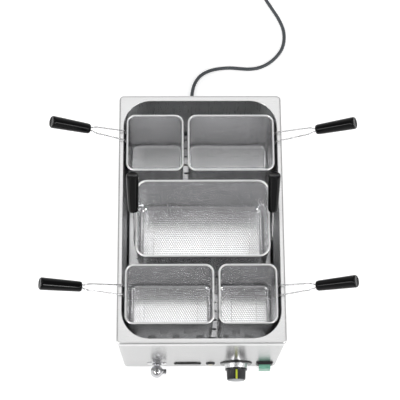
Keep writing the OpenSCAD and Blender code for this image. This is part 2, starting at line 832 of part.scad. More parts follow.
module switch_rocker() {
  half = rocker_r - 0.4;
  pad_l = rocker_reach - rocker_pivot;
  color("mediumseagreen", 0.8) translate([switch_at, panel_y - rocker_pivot, controls_z])
    rotate([-rocker_tilt, 0, 0]) {
      translate([-rocker_w / 2, 0, 0]) rotate([0, 90, 0]) cylinder(r = rocker_r, h = rocker_w);
      translate([-rocker_w / 2, -pad_l, -half]) cube([rocker_w, pad_l, 2 * half]);
      translate([-rocker_w / 2 - rocker_pin_l, 0, 0]) rotate([0, 90, 0])
        cylinder(d = rocker_pin_d, h = rocker_w + 2 * rocker_pin_l);
    }
}

// Indicator lamp and blank plate

module indicator_frame() {
  color("black") translate([lamp_at, 0, controls_z]) difference() {
    union() {
      rod_y(lamp_d, panel_y - lamp_t / 2, panel_y);
      along_y(panel_y - lamp_t) cylinder(d1 = lamp_d - 3, d2 = lamp_d, h = lamp_t / 2);
      rod_y(lamp_body_d, panel_y, panel_y + 20);
    }
    rod_y(lens_d + 2 * run_gap, panel_y - lamp_t - cut, panel_y + 8);
  }
}

module indicator_lens() {
  bulge = 2;
  sphere_r = (lens_d ^ 2 / 4 + bulge ^ 2) / (2 * bulge);
  color("lightyellow") translate([lamp_at, 0, controls_z]) {
    rod_y(lens_d, panel_y - lamp_t, panel_y + 8 - seat_gap);
    intersection() {
      translate([0, panel_y - lamp_t - bulge + sphere_r, 0]) sphere(sphere_r);
      rod_y(lens_d, panel_y - lamp_t - bulge - cut, panel_y - lamp_t + 0.5);
    }
  }
}

module lozenge(w, h, y, t) {
  translate([0, y, 0]) rotate([-90, 0, 0]) linear_extrude(t) stadium(w, h);
}

module blank_plate() {
  color("black") translate([badge_at, 0, controls_z]) {
    lozenge(badge_w, badge_h, panel_y - badge_t / 2, badge_t / 2);
    lozenge(badge_w - 3, badge_h - 3, panel_y - badge_t, badge_t / 2);
  }
}

// Drain

module drain_pipe() {
  outer = drain_bore + 2 * pipe_wall;
  pipe_end = panel_y + tail_l;
  color("silver") translate([tap_at, 0, 0]) difference() {
    union() {
      translate([0, drain_y, tank_under_z - 2]) cylinder(d = drain_flange_d, h = 2);
      translate([0, drain_y, controls_z]) cylinder(d = outer, h = tank_under_z - controls_z);
      translate([0, drain_y, controls_z]) sphere(d = outer);
      translate([0, 0, controls_z]) rod_y(outer, pipe_end, drain_y);
    }
    translate([0, drain_y, controls_z]) cylinder(d = drain_bore, h = tank_under_z - controls_z + cut);
    translate([0, drain_y, controls_z]) sphere(d = drain_bore);
    translate([0, 0, controls_z]) rod_y(drain_bore, pipe_end - cut, drain_y);
  }
}

module tap_nut() {
  color("goldenrod") translate([tap_at, panel_y + sheet_t, controls_z]) rotate([-90, 0, 0])
    hex_ring(nut_across, tail_d, nut_t);
}

module tap_flange() {
  color("whitesmoke") translate([tap_at, 0, controls_z]) difference() {
    union() {
      rod_y(tap_flange_d, panel_y - 1, panel_y);
      along_y(panel_y - tap_flange_t) cylinder(d1 = tail_d + 6, d2 = tap_flange_d, h = tap_flange_t - 1);
    }
    rod_y(tail_d + 2 * run_gap, panel_y - tap_flange_t - cut, panel_y + cut);
  }
}

module tap_body() {
  cone_y = tap_y + 6;
  neck_y = panel_y - tap_flange_t;
  cone_r = sqrt((tap_d / 2) ^ 2 - 36);
  color("whitesmoke") translate([tap_at, 0, controls_z]) difference() {
    union() {
      rod_y(tail_d, neck_y, panel_y + tail_l);
      rod_y(tail_d + 4, neck_y - 2, neck_y);
      along_y(cone_y) cylinder(r1 = cone_r, r2 = neck_d / 2, h = neck_y - 2 - cone_y);
      translate([0, tap_y, 0]) sphere(d = tap_d);
      translate([0, tap_y, 0]) rotate([0, 90, 0]) cylinder(d = gland_boss_d, h = gland_boss_x);
      translate([0, tap_y, -spout_drop]) cylinder(d = spout_d, h = spout_drop);
    }
    translate([0, tap_y, 0]) {
      sphere(d = ball_d + 2 * run_gap);
      translate([0, 0, -spout_drop - cut]) cylinder(d = spout_bore, h = spout_drop + cut);
      rotate([0, 90, 0]) cylinder(d = stem_d + 2 * run_gap, h = gland_boss_x + cut);
    }
    rod_y(port_d, tap_y, panel_y + tail_l + cut);
  }
}

stem_x0 = ball_d / 2 - 3;

module tap_ball() {
  color("silver") translate([tap_at, tap_y, controls_z]) difference() {
    sphere(d = ball_d);
    rod_y(port_d - 1, 0, ball_d);
    cylinder(d = port_d - 1, h = ball_d);
    translate([stem_x0, 0, 0]) rotate([0, 90, 0]) cylinder(d = stem_d + 2 * run_gap, h = ball_d);
  }
}

module tap_lever() {
  lever_x = gland_boss_x + lever_gap;
  color("whitesmoke") translate([tap_at, tap_y, controls_z]) {
    translate([stem_x0, 0, 0]) rotate([0, 90, 0]) cylinder(d = stem_d, h = lever_x - stem_x0);
    translate([lever_x, 0, 0]) rotate([0, 90, 0]) {
      cylinder(d = 12, h = lever_t + 1.5);
      linear_extrude(lever_t) {
        translate([lever_l / 2 - lever_w / 4, 0]) square([lever_l - lever_w / 2, lever_w], center = true);
        translate([lever_l - lever_w / 2, 0]) circle(d = lever_w);
      }
    }
  }
}

// Cord

module cable_gland() {
  nut_l = 7;
  dome_l = 9;
  color("dimgray") translate([gland_x, 0, gland_z]) {
    rod_y(gland_hole_d, rear_y - sheet_t - 8, rear_y);
    along_y(rear_y) cylinder(d = 24 / cos(30), h = nut_l, $fn = 6);
    along_y(rear_y + nut_l) cylinder(d1 = 22, d2 = 15, h = dome_l);
    along_y(rear_y + nut_l + dome_l) cylinder(d1 = 14, d2 = cord_d + 2, h = gland_reach - nut_l - dome_l);
    along_y(rear_y - sheet_t - 5) cylinder(d = 24 / cos(30), h = 5, $fn = 6);
  }
}

// The coil winds inwards on the table, climbs one layer and winds out again
function coil_z(s) =
  let (t = min(max((s - coil_turns / 2) / 0.5 + 0.5, 0), 1)) cord_z + coil_pitch * t ^ 2 * (3 - 2 * t);
function coil_point(s) =
  let (r = coil_r + coil_pitch * abs(s - coil_turns / 2), a = 360 * s)
  [coil_centre[0] + r * cos(a), coil_centre[1] + r * sin(a), coil_z(s)];
coil_rings = 24;
coil_steps = coil_turns * coil_rings;
end_heading = [cos(coil_end_a + 90), sin(coil_end_a + 90), 0];
coil_end = coil_point(coil_turns);
COIL_PATH = [
  [coil_start[0], coil_start[1] - cord_d, cord_z],
  for (i = [0:coil_steps]) coil_point(i / coil_rings),
  coil_end + end_heading * cord_d
];
// Least free gap between two places on the coil that are more than a third of a turn apart
coil_least = min([
  for (i = [0:2:coil_steps], k = [i + coil_rings / 3:2:coil_steps])
    norm(coil_point(i / coil_rings) - coil_point(k / coil_rings)) - cord_d
]);
echo(coil_least_gap = coil_least);

module cord_coil() {
  color("dimgray") tube(COIL_PATH, cord_d, 6);
}

// Both stretches run straight for one diameter at each end
module power_cord() {
  stub = cord_d;
  first = [gland_x, cord_y0, gland_z];
  last = COIL_PATH[0];
  tail_first = coil_end + end_heading * cord_d;
  tail_last = [plug_x, plug_y, plug_d / 2];
  tail = [tail_first, tail_first + end_heading * 1.5 * stub, tail_last - end_heading * 1.5 * stub, tail_last];
  route = smooth([first + [0, stub, 0], each CORD_POINTS, last - [0, stub, 0]], 2);
  color("dimgray") {
    tube([first, each route, last], cord_d, 8);
    tube(rounded(tail, stub / 2, 3), cord_d, 8);
  }
}

module plug_body() {
  color("dimgray") translate([plug_x, plug_y, plug_d / 2]) rotate([0, -90, 0]) {
    cylinder(d1 = cord_d + 3, d2 = 20, h = plug_neck_l);
    translate([0, 0, plug_neck_l]) cylinder(d1 = 22, d2 = plug_d, h = 12);
    translate([0, 0, plug_neck_l + 12]) cylinder(d = plug_d, h = plug_l - 12);
  }
}

module plug_pins() {
  color("silver") translate([plug_x - plug_neck_l - plug_l, plug_y, plug_d / 2]) rotate([0, -90, 0])
    for (y = [-1, 1]) translate([0, y * pin_spread / 2, 0]) cylinder(d = pin_d, h = pin_l);
}

// Baskets

module basket_shell(b) {
  color("lightgray") translate([b[4][0], b[4][1], basket_z])
    pan(b[1] - 2 * wall_inset, b[2] - 2 * wall_inset, b[3] - wall_inset, rim_z - rim_d - basket_z,
        basket_floor_r, basket_t);
}

module basket_rim(b) {
  color("white") translate([b[4][0], b[4][1], rim_z - rim_d / 2])
    swept_round(b[1], b[2], b[3]) translate([b[3] - rim_d / 2, 0]) circle(d = rim_d);
}

// A handle's own frame: origin on the wall's outer face below the rim, x outwards, y along the wall, z up
leg_x = wall_inset + leg_gap + wire_d / 2;
function rise_dir(b) = len(b[5]) == 2 ? [0, cos(b[6]), sin(b[6])] : [cos(b[6]), 0, sin(b[6])];
function spread_dir(b) = len(b[5]) == 2 ? [0, -sin(b[6]), cos(b[6])] : [0, 1, 0];
function wire_path(b, side) =
  let (
    d = rise_dir(b), n = spread_dir(b), two = len(b[5]) == 2 ? -1 : 1,
    foot_z = rim_z - rim_d - leg_l, top_z = rim_z + shoulder_h,
    y = two * side * wire_spread / 2, base = [leg_x, 0, top_z]
  )
  [
    [leg_gap / 2, y, foot_z], [leg_x, y, foot_z], [leg_x, y, top_z],
    base + d * (b[7] - bend_setback - fork_l) + n * side * fork_spread / 2,
    base + d * (b[7] - bend_setback) + n * side * tang_spread / 2,
    base + d * (b[7] + tang_l) + n * side * tang_spread / 2
  ];

module at_handle(b, side) {
  translate([b[4][0] + side * (b[1] / 2 - wall_inset), b[4][1] + b[8], 0])
    mirror([side < 0 ? 1 : 0, 0, 0]) children();
}

module basket_handle(b) {
  color("silver") for (side = b[5]) at_handle(b, side)
    for (k = [-1, 1]) tube(rounded(wire_path(b, k), bend_setback, 4), wire_d, wire_sides, [0, 1, 0.01]);
}

module basket_grip(b) {
  d = rise_dir(b);
  two = len(b[5]) == 2;
  collar = 3;
  color("black") for (side = b[5]) at_handle(b, side)
    translate([leg_x, 0, rim_z + shoulder_h]) rotate(two ? [b[6] - 90, 0, 0] : [0, 90 - b[6], 0])
      translate([0, 0, b[7] + 0.2]) difference() {
        union() {
          cylinder(d1 = grip_neck_d - 2, d2 = grip_neck_d, h = collar);
          translate([0, 0, collar]) cylinder(d1 = grip_neck_d, d2 = grip_d, h = grip_l - 2 * collar);
          translate([0, 0, grip_l - collar]) cylinder(d1 = grip_d, d2 = grip_d - 3, h = collar);
        }
        for (k = [-1, 1]) translate([0, k * tang_spread / 2, -cut])
          cylinder(d = wire_d + 2 * hole_gap, h = tang_l + cut + 1);
      }
}

deck_plate();
tank();
casing_wrap();
front_panel();
base_plate();
base_screws();
feet();
foot_screws();
false_bottom();
heating_element();
tank_bushings();
bushing_nuts();
sensor_bulb();
sensor_clip();
capillary_tube();
thermostat_body();
dial_plate();
dial_ring();
thermostat_shaft();
control_knob();
knob_pointer();
knob_cap();
switch_housing();
switch_rocker();
indicator_frame();
indicator_lens();
blank_plate();
drain_pipe();
tap_nut();
tap_flange();
tap_body();
tap_ball();
tap_lever();
safety_cutout();
terminal_block();
cable_gland();
power_cord();
cord_coil();
plug_body();
plug_pins();
for (b = BASKETS) {
  basket_shell(b);
  basket_rim(b);
  basket_handle(b);
  basket_grip(b);
}
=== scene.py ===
import json
import math

import bmesh
import bpy
from mathutils import Matrix, Vector

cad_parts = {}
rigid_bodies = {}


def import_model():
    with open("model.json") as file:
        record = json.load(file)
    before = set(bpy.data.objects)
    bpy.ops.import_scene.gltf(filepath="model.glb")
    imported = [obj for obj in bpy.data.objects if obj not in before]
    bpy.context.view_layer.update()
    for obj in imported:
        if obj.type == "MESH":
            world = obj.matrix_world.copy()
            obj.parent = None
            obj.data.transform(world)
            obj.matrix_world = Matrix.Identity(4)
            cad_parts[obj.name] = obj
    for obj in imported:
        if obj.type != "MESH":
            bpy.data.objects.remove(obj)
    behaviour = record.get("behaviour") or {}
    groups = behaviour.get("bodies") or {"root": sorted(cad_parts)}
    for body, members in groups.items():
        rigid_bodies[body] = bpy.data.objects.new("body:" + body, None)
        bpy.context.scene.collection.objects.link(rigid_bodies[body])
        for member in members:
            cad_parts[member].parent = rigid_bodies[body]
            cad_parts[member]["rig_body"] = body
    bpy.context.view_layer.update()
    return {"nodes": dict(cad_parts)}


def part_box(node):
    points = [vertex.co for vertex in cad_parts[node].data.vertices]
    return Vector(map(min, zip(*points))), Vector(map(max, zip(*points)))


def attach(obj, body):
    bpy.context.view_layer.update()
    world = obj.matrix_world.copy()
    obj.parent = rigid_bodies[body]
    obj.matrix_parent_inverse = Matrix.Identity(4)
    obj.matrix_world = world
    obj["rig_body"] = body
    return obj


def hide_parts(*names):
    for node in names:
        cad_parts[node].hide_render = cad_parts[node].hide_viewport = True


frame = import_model()
nodes = frame["nodes"]
scene = bpy.context.scene
MM = 0.001
# Points of one mesh that lie closer than this are one point
MERGE = 0.001 * MM
# The name that each basket's nodes start with in the record
BACK_SMALL = "back_small"
BACK_MEDIUM = "back_medium"
LARGE = "large"
FRONT_MEDIUM = "front_medium"
FRONT_SMALL = "front_small"

# Sizes that repeat the part's source, in metres
DECK_T = 1.2 * MM
DECK_LIP = 15 * MM
DECK_CORNER_R = 10 * MM
DECK_EDGE_R = 4 * MM
SHEET_T = 1 * MM
TANK_CORNER_R = 56 * MM
TANK_FLOOR_R = 20 * MM
RIM_D = 4.5 * MM
BASKET_T = 0.8 * MM
BASKET_FLOOR_R = 8 * MM
WIRE_D = 3 * MM
CORD_D = 8.3 * MM

# Baskets: corner radius, sides with a handle, slope, length of the wires, handle's place along the wall
BASKETS = {
    BACK_SMALL: (18 * MM, (-1,), 30, 82 * MM, 10 * MM),
    BACK_MEDIUM: (18 * MM, (1,), 29, 92 * MM, 6 * MM),
    LARGE: (24 * MM, (-1, 1), 48, 54 * MM, -37 * MM),
    FRONT_MEDIUM: (18 * MM, (-1,), 21, 87 * MM, 5 * MM),
    FRONT_SMALL: (18 * MM, (1,), 30, 82 * MM, 3 * MM),
}


# Camera

def photo_camera():
    """Looks down on the cooker from in front of it, from a place that was fitted to its corners."""
    data = bpy.data.cameras.new("photo_camera")
    data.lens = 108
    data.sensor_width = 36
    data.clip_start = 0.1
    camera = bpy.data.objects.new("photo_camera", data)
    camera.location = (-0.03518, -0.65737, 2.68077)
    camera.rotation_euler = [math.radians(a) for a in (16.3498, -0.7138, -0.3431)]
    scene.collection.objects.link(camera)
    scene.camera = camera


photo_camera()


# Cord, by the route of the part's source

# Points that the cord follows over the table, in millimetres
CORD_POINTS = [
    (-16, 321, 41), (-16, 332, 37), (-16, 345, 29), (-16, 358, 19), (-16, 371, 10), (-15, 385, 5),
    (-13, 401, 4.2), (-7, 420, 4.2), (6, 438, 4.2), (26, 450, 4.2), (50, 456, 4.2), (77, 458, 4.2),
    (103, 456, 4.2), (125, 455, 4.2), (148, 459, 4.2), (170, 470, 4.2), (189, 487, 4.2), (203, 508, 4.2),
    (209, 533, 4.2), (207, 560, 4.2), (196, 588, 4.2), (181, 614, 4.2), (166, 640, 4.2), (155, 668, 4.2),
    (151, 690, 4.2),
]
CORD_START = Vector((-16, 298, 42)) * MM
COIL_START = Vector((150, 716, 4.15)) * MM
COIL_CENTRE = Vector((95.375, 716, 0)) * MM
COIL_TURNS = 3.25
COIL_R = 40 * MM
COIL_PITCH = 9 * MM
PLUG_TIP = Vector((45.375, 770.625, 18.5)) * MM
POINTS_PER_TURN = 24


def spline(points, steps):
    """Points on a smooth curve through a list of points."""
    made = []
    last = len(points) - 1
    for i in range(last):
        a, b, c, d = (points[max(i - 1, 0)], points[i], points[i + 1], points[min(i + 2, last)])
        for k in range(steps):
            t = k / steps
            made.append(0.5 * (2 * b + (c - a) * t + (2 * a - 5 * b + 4 * c - d) * t ** 2
                               + (3 * b - a - 3 * c + d) * t ** 3))
    return made + [points[last]]


def coil_point(s):
    """The middle of the cord after s turns: inwards on the table, up one layer and outwards again."""
    # It climbs over half a turn, slowly at first and at the end
    t = min(max((s - COIL_TURNS / 2) / 0.5 + 0.5, 0), 1)
    climb = COIL_PITCH * t ** 2 * (3 - 2 * t)
    r = COIL_R + COIL_PITCH * abs(s - COIL_TURNS / 2)
    a = math.tau * s
    return COIL_CENTRE + Vector((r * math.cos(a), r * math.sin(a), CORD_D / 2 + climb))


def cord_route():
    """The middle line of the whole cord: out of its gland, over the table and round the coil to the plug."""
    straight = Vector((0, CORD_D, 0))
    back = Vector((CORD_D, 0, 0))
    end = coil_point(COIL_TURNS)
    lay = [CORD_START, CORD_START + straight] + [Vector(p) * MM for p in CORD_POINTS]
    lay += [COIL_START - 2 * straight, COIL_START - straight]
    lay += [coil_point(i / POINTS_PER_TURN) for i in range(int(POINTS_PER_TURN * COIL_TURNS) + 1)]
    lay += [end - back, end - 2.5 * back, PLUG_TIP + 1.5 * back, PLUG_TIP]
    return spline(lay, 3)


# Meshes

def piece(name, bm, material, body, stands_for=(), sharp=35):
    """Makes a finished piece of a bmesh: closed, facing outwards, smooth up to the sharp angle."""
    bmesh.ops.remove_doubles(bm, verts=bm.verts, dist=MERGE)
    bmesh.ops.recalc_face_normals(bm, faces=bm.faces)
    mesh = bpy.data.meshes.new(name)
    bm.to_mesh(mesh)
    bm.free()
    mesh.shade_smooth()
    mesh.set_sharp_from_angle(angle=math.radians(sharp))
    mesh.materials.append(material)
    made = bpy.data.objects.new(name, mesh)
    scene.collection.objects.link(made)
    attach(made, body)
    if stands_for:
        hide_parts(*stands_for)
    return made


def weighted(made):
    """Keeps large flat faces flat beside small bends."""
    made.modifiers.new("even_shading", "WEIGHTED_NORMAL").keep_sharp = True
    return made


def move_to(bm, place, turn=Matrix.Identity(3)):
    """Turns everything in the mesh about the origin, then puts it at its place."""
    bmesh.ops.transform(bm, matrix=Matrix.Translation(place) @ turn.to_4x4(), verts=bm.verts)


def loop(bm, places):
    """A closed loop of edges through some places."""
    verts = [bm.verts.new(place) for place in places]
    return [bm.edges.new(pair) for pair in zip(verts, verts[1:] + verts[:1])]


def round_rectangle(bm, width, length, radius, z, steps=10):
    """A loop of edges: a rectangle with round corners."""
    places = []
    for corner, (sx, sy) in enumerate(((1, 1), (-1, 1), (-1, -1), (1, -1))):
        pivot = (sx * (width / 2 - radius), sy * (length / 2 - radius))
        places += [(x, y, z) for x, y in arc(pivot, radius, 90 * corner, 90 * corner + 90, steps)]
    return loop(bm, places)


# Bridging needs its two loops at different heights, so that level faces fall this little
STEP_DOWN = 0.02 * MM


def skin(bm, loops, closed=False):
    """Bridges each loop of edges to the next."""
    for a, b in zip(loops, loops[1:] + (loops[:1] if closed else [])):
        bmesh.ops.bridge_loops(bm, edges=a + b)


def turned(profile, steps=48):
    """A body of revolution round the Z axis. The profile is a list of (radius, height), in millimetres."""
    bm = bmesh.new()
    points = [bm.verts.new((r * MM, 0, z * MM)) for r, z in profile]
    edges = [bm.edges.new(pair) for pair in zip(points, points[1:])]
    bmesh.ops.spin(bm, geom=points + edges, cent=(0, 0, 0), axis=(0, 0, 1), angle=math.tau, steps=steps,
                   use_merge=True)
    bmesh.ops.remove_doubles(bm, verts=bm.verts, dist=MERGE)
    return bm


def join(bm, other):
    """Adds another mesh's faces to this one."""
    mesh = bpy.data.meshes.new("joined")
    other.to_mesh(mesh)
    other.free()
    bm.from_mesh(mesh)
    bpy.data.meshes.remove(mesh)


def arc(centre, radius, start, end, steps=6):
    """Points on a round stretch of a profile, angles in degrees."""
    angles = [math.radians(start + (end - start) * k / steps) for k in range(steps + 1)]
    return [(centre[0] + radius * math.cos(a), centre[1] + radius * math.sin(a)) for a in angles]


def quarter(steps):
    """How far a quarter bend has come in, and how far it is still below its end, as shares of its radius."""
    angles = [math.radians(90 * k / steps) for k in range(steps + 1)]
    return [(1 - math.cos(a), 1 - math.sin(a)) for a in angles]


def smoothed(node, material, edge=0, sharp=30):
    """A CAD node's own shape with its triangles joined, so that its round faces shade smoothly.
    Its sharp edges are broken by the edge's width where one is given."""
    bm = bmesh.new()
    bm.from_mesh(nodes[node].data)
    bmesh.ops.remove_doubles(bm, verts=bm.verts, dist=2 * MERGE)
    if edge:
        bmesh.ops.dissolve_limit(bm, angle_limit=math.radians(1), verts=bm.verts, edges=bm.edges)
    made = piece(node + "_finished", bm, material, nodes[node]["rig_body"], [node], sharp)
    if edge:
        broken = made.modifiers.new("broken_edges", "BEVEL")
        broken.width = edge
        broken.segments = 2
        broken.limit_method = "ANGLE"
        broken.angle_limit = math.radians(40)
        broken.harden_normals = True
    return weighted(made)


def wire(paths, radius):
    """Round wire along each of some paths, with closed ends."""
    curve = bpy.data.curves.new("wire", "CURVE")
    curve.dimensions = "3D"
    curve.bevel_depth = radius
    curve.bevel_resolution = 4
    curve.use_fill_caps = True
    for path in paths:
        line = curve.splines.new("POLY")
        line.points.add(len(path) - 1)
        for point, place in zip(line.points, path):
            point.co = (*place, 1)
    holder = bpy.data.objects.new("wire", curve)
    mesh = bpy.data.meshes.new_from_object(holder)
    bm = bmesh.new()
    bm.from_mesh(mesh)
    bpy.data.objects.remove(holder)
    bpy.data.curves.remove(curve)
    bpy.data.meshes.remove(mesh)
    return bm


def eased(path, setback, steps=6):
    """A path with each inner corner replaced by a short curve."""
    made = [path[0]]
    for a, b, c in zip(path, path[1:], path[2:]):
        p = b + (a - b).normalized() * setback
        q = b + (c - b).normalized() * setback
        for i in range(steps + 1):
            t = i / steps
            made.append((1 - t) ** 2 * p + 2 * t * (1 - t) * b + t ** 2 * q)
    return made + [path[-1]]


# Materials

def colour(code):
    """A colour that is written as sRGB hex, as linear values."""
    parts = [int(code[i:i + 2], 16) / 255 for i in (0, 2, 4)]
    return [c / 12.92 if c <= 0.04045 else ((c + 0.055) / 1.055) ** 2.4 for c in parts] + [1.0]


def shade(code, factor):
    """A lighter or darker shade of a colour, as linear values."""
    return [min(1.0, c * factor) for c in colour(code)[:3]] + [1.0]


def add(tree, kind, inputs=None, **settings):
    """Adds a node. An input is a value or another node's output."""
    made = tree.nodes.new(kind)
    for name, value in settings.items():
        setattr(made, name, value)
    for name, value in (inputs or {}).items():
        if isinstance(value, bpy.types.NodeSocket):
            tree.links.new(value, made.inputs[name])
        else:
            made.inputs[name].default_value = value
    return made


def started(name):
    """A new material: its node tree, its shader and the place of the shaded point, in metres."""
    material = bpy.data.materials.new(name)
    material.use_nodes = True
    tree = material.node_tree
    shader = tree.nodes["Principled BSDF"]
    place = add(tree, "ShaderNodeTexCoord").outputs["Object"]
    return material, tree, shader, place


def bare_metal(name, code, roughness, grain, depth, swing=0.04):
    """Bare metal as it was worked: fine lines that spread a highlight across them and vary its tone a little.
    grain gives the size of the lines along X, Y and Z and depth their depth, in millimetres."""
    material, tree, shader, place = started(name)
    scale = [1 / (size * MM) for size in grain]
    stretched = add(tree, "ShaderNodeMapping", {"Vector": place, "Scale": scale}, vector_type="POINT")
    lines = add(tree, "ShaderNodeTexNoise",
                {"Vector": stretched.outputs["Vector"], "Scale": 1.0, "Detail": 3.0, "Roughness": 0.6})
    tone = add(tree, "ShaderNodeMapRange",
               {"Value": lines.outputs["Fac"], "From Min": 0.3, "From Max": 0.7,
                "To Min": roughness - swing, "To Max": roughness + swing})
    mixed = add(tree, "ShaderNodeMix",
                {"Factor": lines.outputs["Fac"], 6: shade(code, 0.94), 7: shade(code, 1.06)}, data_type="RGBA")
    bump = add(tree, "ShaderNodeBump",
               {"Height": lines.outputs["Fac"], "Strength": 0.25, "Distance": depth * MM})
    tree.links.new(mixed.outputs[2], shader.inputs["Base Color"])
    tree.links.new(tone.outputs["Result"], shader.inputs["Roughness"])
    tree.links.new(bump.outputs["Normal"], shader.inputs["Normal"])
    shader.inputs["Metallic"].default_value = 1.0
    return material


# Plastic varies a little in colour from one patch to the next, this far apart
PATCH = 25 * MM


def moulded(name, code, roughness, grit, depth, gloss=0.5):
    """Plastic or rubber: one colour that varies a little, over a fine moulded skin.
    grit gives the size of the skin's grain and depth its depth, in millimetres."""
    material, tree, shader, place = started(name)
    grain = add(tree, "ShaderNodeTexNoise", {"Vector": place, "Scale": 1 / (grit * MM), "Detail": 2.0})
    cloud = add(tree, "ShaderNodeTexNoise", {"Vector": place, "Scale": 1 / PATCH, "Detail": 2.0})
    mixed = add(tree, "ShaderNodeMix",
                {"Factor": cloud.outputs["Fac"], 6: shade(code, 0.92), 7: shade(code, 1.08)}, data_type="RGBA")
    tone = add(tree, "ShaderNodeMapRange",
               {"Value": cloud.outputs["Fac"], "From Min": 0.3, "From Max": 0.7,
                "To Min": roughness * 0.9, "To Max": roughness * 1.1})
    bump = add(tree, "ShaderNodeBump",
               {"Height": grain.outputs["Fac"], "Strength": 0.3, "Distance": depth * MM})
    tree.links.new(mixed.outputs[2], shader.inputs["Base Color"])
    tree.links.new(tone.outputs["Result"], shader.inputs["Roughness"])
    tree.links.new(bump.outputs["Normal"], shader.inputs["Normal"])
    shader.inputs["Specular IOR Level"].default_value = gloss
    return material


# Lines of a grinding belt, in millimetres. Real ones are finer, and too fine to show
ALONG = 60
ACROSS = 1.2

# Belt-ground from left to right: streaks along it, a soft highlight across them
deck_steel = bare_metal("brushed_stainless_top", "D0D0D0", 0.30, (ALONG, ACROSS, ACROSS), 0.02)
# Bright rolled sheet: smooth enough to mirror the controls softly
panel_steel = bare_metal("bright_stainless_panel", "A4A4A4", 0.24, (ALONG, ACROSS, ACROSS), 0.005, 0.02)
# Belt-ground from front to back, as the sheet runs round the casing
side_steel = bare_metal("brushed_stainless_sides", "D2D2D3", 0.30, (ACROSS, ALONG, ACROSS), 0.02)
# Deep-drawn and satin: faint upright streaks, with no clear reflections
tank_steel = bare_metal("satin_stainless_tank", "E4E5E6", 0.30, (ACROSS, ACROSS, ALONG), 0.01)
# Rolled plate: smoother than the tank, so that it catches light between the baskets
plate_steel = bare_metal("punched_stainless_plate", "C8C8C9", 0.20, (ALONG, ACROSS, ACROSS), 0.01)
# Bright perforated sheet: strong highlights that dents break up a little
basket_steel = bare_metal("perforated_stainless_sheet", "E6E6E7", 0.16, (2.5, 2.5, 2.5), 0.01)
# Tumbled wire frame: pale and even all round
rim_steel = bare_metal("polished_stainless_rim", "F2F2F2", 0.30, (10 / 3, 10 / 3, 10 / 3), 0.002, 0.03)
# Drawn wire: narrow bright and dark lines along it
wire_steel = bare_metal("polished_stainless_wire", "BCBCBD", 0.14, (10 / 3, 10 / 3, 10 / 3), 0.002, 0.03)
# Chrome plate on brass: a mirror
tap_chrome = bare_metal("polished_chrome_plate", "BCBCBE", 0.05, (25 / 3, 25 / 3, 25 / 3), 0.001, 0.02)
# Turned aluminium: a satin sheen with faint rings along its axis
ring_aluminium = bare_metal("turned_aluminium_ring", "D8D8D9", 0.28, (5, 5 / 6, 5), 0.01)
# Plain pressed steel: greyer than the sheet and a little dull
screw_steel = bare_metal("plain_stainless_screws", "B4B4B6", 0.32, (2, 2, 2), 0.01)
# Steel tube after heating: brown-grey and dull
element_steel = bare_metal("heat_tinted_element_tube", "6E6860", 0.45, (2.5, 50 / 3, 2.5), 0.02)
# Turned brass: yellow with a satin sheen
brass = bare_metal("turned_brass", "C8A867", 0.28, (10 / 7, 10 / 7, 10 / 7), 0.01)
# Drawn copper: orange with a satin sheen
copper = bare_metal("drawn_copper_tube", "C27D5C", 0.30, (2, 2, 2), 0.01)
# Nickel plate: a warm grey with clear highlights
pin_nickel = bare_metal("nickel_plated_pins", "CFCBC2", 0.22, (2, 2, 2), 0.01)

# Polished phenolic: a deep black with one clear thin highlight
grip_black = moulded("black_moulded_grip", "060607", 0.11, 3, 0.02, 0.15)
# Moulded ABS: black with a soft highlight on each rib
knob_black = moulded("black_ribbed_knob", "17171A", 0.30, 1, 0.02)
# Moulded nylon: a dull black
frame_black = moulded("black_nylon_frame", "1A1A1C", 0.42, 0.8, 0.02)
# Moulded ABS, smooth: black with a soft gloss
plate_black = moulded("black_bare_plate", "111113", 0.25, 2, 0.01)
# Pressed foil on plastic: an even satin grey
cap_grey = moulded("grey_satin_insert", "8C8E92", 0.35, 1, 0.01)
# Moulded ABS: a clear yellow-green with little gloss
pointer_green = moulded("yellow_green_pointer", "C9D43C", 0.40, 1, 0.01)
# Heat-proof moulding: a dull ivory
ceramic = moulded("ivory_heat_proof_plastic", "D9D2BE", 0.50, 1, 0.02)
# Moulded rubber: nearly black and dull
foot_rubber = moulded("black_foot_rubber", "26262A", 0.70, 0.8, 0.03)
# Extruded rubber: a dull dark grey
cord_rubber = moulded("grey_cord_sheath", "4C5054", 0.52, 0.9, 0.03)
# Woven nylon: black, rough and without highlights
strap_black = moulded("black_woven_strap", "202022", 0.85, 0.6, 0.10)
# Moulded nylon: a dull black
gland_black = moulded("black_nylon_gland", "1C1C1E", 0.45, 0.8, 0.02)


def translucent(name, code, roughness, weight):
    """Clear plastic with a little dye: light goes in and comes back coloured."""
    material, tree, shader, place = started(name)
    cloud = add(tree, "ShaderNodeTexNoise", {"Vector": place, "Scale": 3 / PATCH, "Detail": 1.0})
    mixed = add(tree, "ShaderNodeMix",
                {"Factor": cloud.outputs["Fac"], 6: shade(code, 0.85), 7: shade(code, 1.12)}, data_type="RGBA")
    tree.links.new(mixed.outputs[2], shader.inputs["Base Color"])
    shader.inputs["Roughness"].default_value = roughness
    shader.inputs["Transmission Weight"].default_value = weight
    return material


# Dyed polycarbonate: a mint green that glows a little where light comes through
rocker_green = translucent("green_translucent_rocker", "8CCDB4", 0.22, 0.35)
# Clear polycarbonate: a pale warm lens
lens_pale = translucent("pale_translucent_lens", "F3EBD6", 0.15, 0.4)


# Sheet steel body

